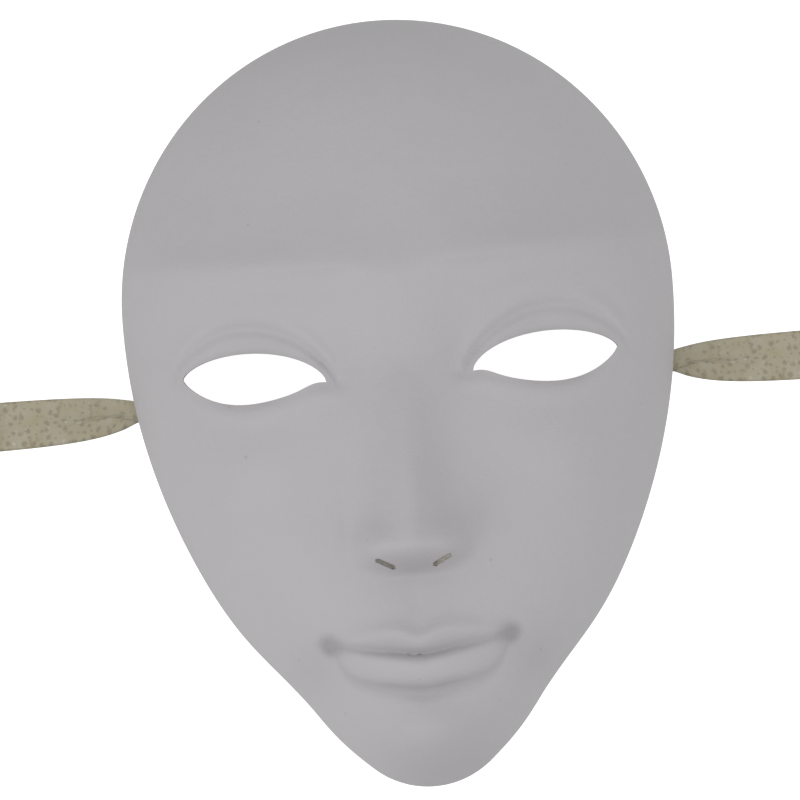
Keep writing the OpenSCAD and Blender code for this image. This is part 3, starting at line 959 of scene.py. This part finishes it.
def ribbon_finish(colours):
    """Printed woven ribbon: taupe ground, small dark spots and pale flecks, shade painted into the gaps
    of the weave, faint sheen.
    """
    m, tree, shader = material("printed_ribbon")
    flat = stored(tree, "flat").outputs["Vector"]
    dark = spotted(tree, flat, 2.6, 0.22, 0.2, 0.6)
    small = spotted(tree, flat, 1.9, 0.13, 0.16, 0.6)
    shifted = add_node(
        tree, "ShaderNodeVectorMath", {0: flat, 1: (31.7, 12.9, 0)}, operation="ADD"
    ).outputs[0]
    pale = spotted(tree, shifted, 3.9, 0.06, 0.1, 0.6)
    cloud = grained(tree, flat, 6.0, 2.0)
    weave = woven(tree, flat, 3.2)
    colour = blended(tree, cloud.outputs["Mask"], colours.ribbon, colours.ribbon_warm)
    # Painted shade: the spot colour darkens the gaps between the weave's threads
    colour = blended(tree, times(tree, weave.outputs["Mask"], -0.12, 0.12), colour, colours.spot)
    colour = blended(tree, times(tree, dark.outputs["Mask"], 0.45), colour, colours.spot)
    colour = blended(tree, times(tree, small.outputs["Mask"], 0.35), colour, colours.spot)
    colour = blended(tree, times(tree, pale.outputs["Mask"], 0.7), colour, colours.fleck)
    apart = add_node(tree, "ShaderNodeSeparateXYZ", {0: flat})
    selvedge = ranged(tree, maths(tree, "ABSOLUTE", apart.outputs["Y"]), 6.7, 7.1)
    colour = blended(tree, times(tree, selvedge, 0.1), colour, colours.spot)
    painted(tree, shader, colour, times(tree, weave.outputs["Mask"], -0.15, 0.62))
    shader.inputs["Sheen Weight"].default_value = 0.25
    shader.inputs["Sheen Roughness"].default_value = 0.4
    height = added(
        tree, weave.outputs["Height"], times(tree, selvedge, 1.2), times(tree, dark.outputs["Mask"], 0.4)
    )
    bumped(tree, shader, height, 0.05 * MM)
    return m


def glue_finish(colours):
    """Set hot glue: milky, glossy and a little cloudy, with tiny bubbles."""
    m, tree, shader = material("hot_glue")
    at = object_mm(tree)
    cloud = grained(tree, at, 3.0, 2.0)
    bubbles = spotted(tree, at, 1.9, 0.08, 0.05, 0.1)
    colour = blended(tree, cloud.outputs["Mask"], colours.glue, colours.glue_thin)
    colour = blended(tree, times(tree, bubbles.outputs["Mask"], 0.5), colour, (0.95, 0.94, 0.9))
    painted(tree, shader, colour, times(tree, cloud.outputs["Mask"], 0.2, 0.18))
    shader.inputs["Subsurface Weight"].default_value = 0.35
    shader.inputs["Subsurface Radius"].default_value = (0.002, 0.0018, 0.0012)
    height = added(tree, cloud.outputs["Height"], times(tree, bubbles.outputs["Mask"], -0.15))
    bumped(tree, shader, height, 0.35 * MM)
    return m


def thread_finish(colours):
    """Two-ply cotton thread, its twist seen as slanting ridges with loose fuzz, and shade painted into
    the grooves between the plies.
    """
    m, tree, shader = material("cotton_thread")
    flat = stored(tree, "flat").outputs["Vector"]
    apart = add_node(tree, "ShaderNodeSeparateXYZ", {0: flat})
    twist = added(tree, times(tree, apart.outputs["X"], 5.2), times(tree, apart.outputs["Y"], 2.0))
    ridge = maths(tree, "SINE", twist)
    fuzz = grained(tree, object_mm(tree), 0.25, 1.6)
    # Painted shade: the thread darkened in the grooves between the plies
    mask = times(tree, ridge, 0.35, 0.4)
    colour = blended(tree, mask, colours.thread_painted_shade, colours.thread)
    colour = blended(tree, times(tree, fuzz.outputs["Mask"], 0.3), colour, colours.fleck)
    painted(tree, shader, colour, times(tree, fuzz.outputs["Mask"], 0.15, 0.75))
    shader.inputs["Sheen Weight"].default_value = 0.3
    bumped(tree, shader, added(tree, ridge, fuzz.outputs["Height"]), 0.06 * MM)
    return m


# ---------------------------------------------------------------- sizes and colours


def size(name, value, text):
    return FloatProperty(name=name, default=value, description=text)


class MaskSizes(bpy.types.PropertyGroup):
    """Sizes of the moulded shell and its face, in millimetres."""

    chin_r: size("Chin radius", 27.5, "Outline round the chin")
    jaw_hollow: size("Jaw hollow", 2.6, "How far the jaw line is drawn in")
    wall: size("Wall", 2.0, "Thickness of the paper")
    dome_h: size("Dome", 66.0, "Height of the bare dome")
    chin_drop: size("Chin drop", 16.0, "How much lower the dome is at the chin")
    rim_arch: size("Rim arch", 2.2, "How far the rim rises beside the ribbons")
    nose_out: size("Nose", 19.0, "Nose tip over the dome")
    nose_y: size("Nose place", -38.0, "Height of the tip")
    nose_w: size("Nose width", 15.0, "Half the wings' width")
    mouth_y: size("Mouth place", -71.0, "Height of the mouth")
    mouth_w: size("Mouth width", 25.0, "Half its width")
    brow_y: size("Brow place", 39.0, "Height of the brow")
    eye_x: size("Eye place", 21.0, "Inner corner from the middle")
    eye_w: size("Eye width", 42.5, "Length of an opening")
    eye_y: size("Eye height", 7.7, "Height of the inner corner")
    eye_tilt: size("Eye tilt", 3.8, "Rise to the outer corner")
    eye_up: size("Upper edge", 8.0, "Rise of the upper edge")
    eye_down: size("Lower edge", 6.9, "Drop of the lower edge")
    slit_l: size("Slit length", 6.5, "Length of a nostril slit")
    slit_w: size("Slit width", 1.6, "Width of a nostril slit")
    slit_x: size("Slit place", 8.0, "Slit from the middle")
    slit_drop: size("Slit drop", 7.0, "Slit under the nose tip")
    ribbon_y: size("Ribbon place", 5.0, "Height of the ribbons")
    edge: size("Edge", 0.5, "How far the cut edges are rounded")
    around: IntProperty(name="Places", default=230, description="Mesh places down one half")
    rings: IntProperty(name="Rings", default=150, description="Mesh rings out to the rim")


class RibbonSizes(bpy.types.PropertyGroup):
    """Sizes of the ribbons, their glue and their ties, in millimetres."""

    width: size("Width", 15.0, "Width of the flat ribbon")
    thick: size("Thickness", 0.26, "Thickness of the cloth")
    length: size("Length", 500.0, "Length of one ribbon")
    gather: size("Gather", 6.3, "Width where it is pleated")
    tab: size("Glued end", 17.0, "Length up the wall")
    depth: size("Depth", 2.65, "Glued end under the skin")
    folds: size("Folds", 58.0, "Length of the folded rest")
    pitch: size("Fold height", 0.6, "Height of one layer")
    left_y: size("Left end", 3.5, "Left ribbon at the rim")
    right_y: size("Right end", 6.3, "Right ribbon at the rim")
    left_far: size("Left rest", 2.2, "Left ribbon's folds")
    right_far: size("Right rest", 5.0, "Right ribbon's folds")
    glue_w: size("Glue width", 12.0, "Width of a glue blob")
    glue_l: size("Glue length", 13.0, "Its length up the wall")
    glue_t: size("Glue height", 2.55, "Its thickness")
    glue_low: size("Glue place", 3.0, "Its height on the wall")
    thread: size("Thread", 0.5, "Thickness of the tie's thread")


def colour(name, value, text):
    return FloatVectorProperty(
        name=name, default=value, description=text, subtype="COLOR", size=3, min=0, max=1
    )


class FinishColours(bpy.types.PropertyGroup):
    """Colours of the paint, pulp, ribbon, glue and thread."""

    paint: colour("Paint", (0.452, 0.441, 0.452), "Matt primer on the face")
    paint_low: colour("Paint, thin", (0.425, 0.414, 0.425), "Primer where it is thin")
    paint_pale: colour("Paint, thick", (0.468, 0.458, 0.470), "Primer where it is thick")
    # Painted shade: a darker copy of the paint for the face's creases, lid edges and brow band
    hollow: colour("Hollows", (0.29, 0.275, 0.285), "Painted shade in the folds of the face and over the brow")
    speck: colour("Specks", (0.24, 0.22, 0.21), "Bits of pulp in the primer")
    pulp: colour("Pulp", (0.50, 0.47, 0.43), "Bare pulp inside")
    pulp_dark: colour("Pulp, dark", (0.40, 0.37, 0.33), "Darker patches inside")
    pulp_fibre: colour("Pulp fibre", (0.60, 0.57, 0.53), "Fibres and chipped edges")
    ribbon: colour("Ribbon", (0.46, 0.428, 0.338), "Ground of the ribbon")
    ribbon_warm: colour("Ribbon, warm", (0.395, 0.35, 0.222), "Its warmer patches")
    # Also used as painted shade in the gaps of the weave
    spot: colour("Spots", (0.175, 0.150, 0.105), "Spots printed on the ribbon")
    fleck: colour("Flecks", (0.58, 0.56, 0.50), "Pale flecks on the ribbon")
    glue: colour("Glue", (0.78, 0.75, 0.65), "Set hot glue")
    glue_thin: colour("Glue, thin", (0.66, 0.62, 0.50), "Glue where it is thin")
    thread: colour("Thread", (0.62, 0.56, 0.44), "Cotton tie")
    # Painted shade: a darker copy of the thread colour for the grooves between the plies
    thread_painted_shade: colour("Thread, painted shade", (0.38, 0.33, 0.24), "Painted shade between the plies")


SIDES = (("left", -1), ("right", 1))
TABLE_SIZE = 8
LENS = 148.3
CAMERA_TURN = math.radians(4.5)
AIM = Vector((-0.00155, 0.00096, 0))
CAMERA_FROM_AIM = Vector((0.018, 0, 1.0))
# Each lamp's name, place in metres, power in watts and size in metres
LAMPS = (("key", (-0.9, -0.42, 1.1), 5.8, 0.9), ("fill", (1.1, -0.05, 1.0), 3.2, 0.9))
# How uneven the turns between each ribbon's folds are, in millimetres
ROUGH_LEFT = (0.0, 0.9, -0.7, 0.4, 1.1, -0.5, 0.3, -1.0, 0.6, -0.2, 0.5)
ROUGH_RIGHT = (0.0, -0.6, 0.8, -0.9, 0.5, 1.0, -0.4, 0.7, -0.8, 0.3, -0.5)


def finished(name, maker, context):
    return bpy.data.materials.get(name) or maker(context.scene.mask_colours)


class MASK_OT_shell(bpy.types.Operator):
    """Build the moulded paper shell with its openings"""

    bl_idname = "mask.shell"
    bl_label = "Mask Shell"

    def execute(self, context):
        sizes = context.scene.mask_sizes
        made = build_shell(Face(sizes), sizes.around, sizes.rings, sizes.edge)
        shell = make_mesh("mask_shell_skin", *made)
        shell.data.materials.append(finished("primed_paper", paper_finish, context))
        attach(shell, "mask")
        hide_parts("mask_shell")
        return {"FINISHED"}


class MASK_OT_ribbons(bpy.types.Operator):
    """Lay the two tie ribbons, each glued inside the rim and folded beside the mask"""

    bl_idname = "mask.ribbons"
    bl_label = "Tie Ribbons"

    def execute(self, context):
        face, sizes = Face(context.scene.mask_sizes), context.scene.ribbon_sizes
        for name, sign in SIDES:
            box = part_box(f"folded_end_{name}")
            folds_from = min(abs(box[0][0]), abs(box[1][0])) / MM
            near, far = getattr(sizes, f"{name}_y"), getattr(sizes, f"{name}_far")
            rough = ROUGH_LEFT if sign < 0 else ROUGH_RIGHT
            ribbon = make_mesh(
                f"tie_ribbon_{name}",
                *ribbon_mesh(face, sizes, sign, near, far, folds_from, rough),
            )
            ribbon.data.materials.append(finished("printed_ribbon", ribbon_finish, context))
            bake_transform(ribbon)
            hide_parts(f"ribbon_tab_{name}", f"ribbon_{name}", f"folded_end_{name}")
        return {"FINISHED"}


class MASK_OT_glue(bpy.types.Operator):
    """Set a blob of hot glue over each ribbon's end"""

    bl_idname = "mask.glue"
    bl_label = "Glue Blobs"

    def execute(self, context):
        face, sizes = Face(context.scene.mask_sizes), context.scene.ribbon_sizes
        for name, sign in SIDES:
            mid_y = mix(getattr(sizes, f"{name}_y"), face.ribbon_y, 0.5)
            glue = make_mesh(
                f"glue_blob_{name}", *glue_mesh(face, sizes, sign, mid_y, 5 + sign)
            )
            glue.data.materials.append(finished("hot_glue", glue_finish, context))
            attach(glue, "mask")
            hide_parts(f"glue_{name}")
        return {"FINISHED"}


class MASK_OT_ties(bpy.types.Operator):
    """Wind and knot a cotton thread round each ribbon's folds"""

    bl_idname = "mask.ties"
    bl_label = "Thread Ties"

    def execute(self, context):
        sizes = context.scene.ribbon_sizes
        for name, sign in SIDES:
            low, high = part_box(f"fold_tie_{name}")
            mid_x, far = abs(low[0] + high[0]) / 2 / MM, getattr(sizes, f"{name}_far")
            for part, line in zip(("wound", "knot"), tie_line(sizes, mid_x, far)):
                points, faces, values = tube(line, sizes.thread / 2)
                if sign < 0:
                    points, faces = points * [-1, 1, 1], [f[::-1] for f in faces]
                tie = make_mesh(f"tie_{part}_{name}", points, faces, values)
                tie.data.materials.append(finished("cotton_thread", thread_finish, context))
                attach(tie, f"ribbon_{name}")
                if part == "wound":
                    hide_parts(f"fold_tie_{name}")
        return {"FINISHED"}


def add_table(context):
    """A pale table that looks white to the camera and lights the mask softly."""
    bpy.ops.mesh.primitive_plane_add(size=TABLE_SIZE, location=(0, 0, 0))
    floor = context.object
    floor.name = "floor"
    m, tree, shader = material("table")
    shader.inputs["Base Color"].default_value = (0.5, 0.5, 0.5, 1)
    shader.inputs["Roughness"].default_value = 0.7
    shader.inputs["Emission Color"].default_value = (1, 1, 1, 1)
    rays = tree.nodes.new("ShaderNodeLightPath")
    glow = ranged(tree, rays.outputs["Is Camera Ray"], 0.0, 1.0, 0.3, 0.93)
    tree.links.new(glow, shader.inputs["Emission Strength"])
    floor.data.materials.append(m)


def add_camera(context):
    """A camera a metre over the mask, turned so that the mask leans a little."""
    camera = bpy.data.objects.new("camera", bpy.data.cameras.new("camera"))
    context.scene.collection.objects.link(camera)
    camera.data.sensor_width = 36
    camera.data.lens = LENS
    camera.location = AIM + CAMERA_FROM_AIM
    look = (AIM - camera.location).normalized()
    up = Vector((math.sin(CAMERA_TURN), math.cos(CAMERA_TURN), 0))
    right = look.cross(up).normalized()
    turn = Matrix((right, right.cross(look), -look)).transposed()
    camera.matrix_world = Matrix.Translation(camera.location) @ turn.to_4x4()
    context.scene.camera = camera


def add_lights(context):
    """Two soft lamps and an even white room."""
    for name, at, power, across in LAMPS:
        light = bpy.data.objects.new(name, bpy.data.lights.new(name, "AREA"))
        light.data.energy = power
        light.data.size = across
        light.location = at
        light.rotation_euler = (-Vector(at)).to_track_quat("-Z", "Y").to_euler()
        context.scene.collection.objects.link(light)
    world = context.scene.world or bpy.data.worlds.new("world")
    context.scene.world = world
    world.use_nodes = True
    room = world.node_tree.nodes["Background"]
    room.inputs["Color"].default_value = (1, 1, 1, 1)
    room.inputs["Strength"].default_value = 0.71
    context.scene.view_settings.view_transform = "Standard"


class MASK_OT_stage(bpy.types.Operator):
    """Lay the pale table and set the lights and the camera"""

    bl_idname = "mask.stage"
    bl_label = "Table, Lights and Camera"

    def execute(self, context):
        add_table(context)
        add_camera(context)
        add_lights(context)
        return {"FINISHED"}


class MASK_PT_panel(bpy.types.Panel):
    """The mask's pieces, one button each"""

    bl_idname = "MASK_PT_panel"
    bl_label = "Blank Mask"
    bl_space_type = "VIEW_3D"
    bl_region_type = "UI"
    bl_category = "Mask"

    def draw(self, context):
        for operator in OPERATORS:
            self.layout.operator(operator.bl_idname)
        for group in ("mask_sizes", "ribbon_sizes", "mask_colours"):
            sizes = getattr(context.scene, group)
            column = self.layout.column(align=True)
            for key in sizes.bl_rna.properties.keys():
                if key not in ("rna_type", "name"):
                    column.prop(sizes, key)


OPERATORS = (MASK_OT_stage, MASK_OT_shell, MASK_OT_ribbons, MASK_OT_glue, MASK_OT_ties)
CLASSES = (MaskSizes, RibbonSizes, FinishColours, *OPERATORS, MASK_PT_panel)


def register():
    for cls in CLASSES:
        bpy.utils.register_class(cls)
    bpy.types.Scene.mask_sizes = PointerProperty(type=MaskSizes)
    bpy.types.Scene.ribbon_sizes = PointerProperty(type=RibbonSizes)
    bpy.types.Scene.mask_colours = PointerProperty(type=FinishColours)


def unregister():
    del bpy.types.Scene.mask_colours
    del bpy.types.Scene.ribbon_sizes
    del bpy.types.Scene.mask_sizes
    for cls in reversed(CLASSES):
        bpy.utils.unregister_class(cls)


def main():
    register()
    bpy.ops.mask.stage()
    bpy.ops.mask.shell()
    bpy.ops.mask.ribbons()
    bpy.ops.mask.glue()
    bpy.ops.mask.ties()


if __name__ == "__main__":
    main()
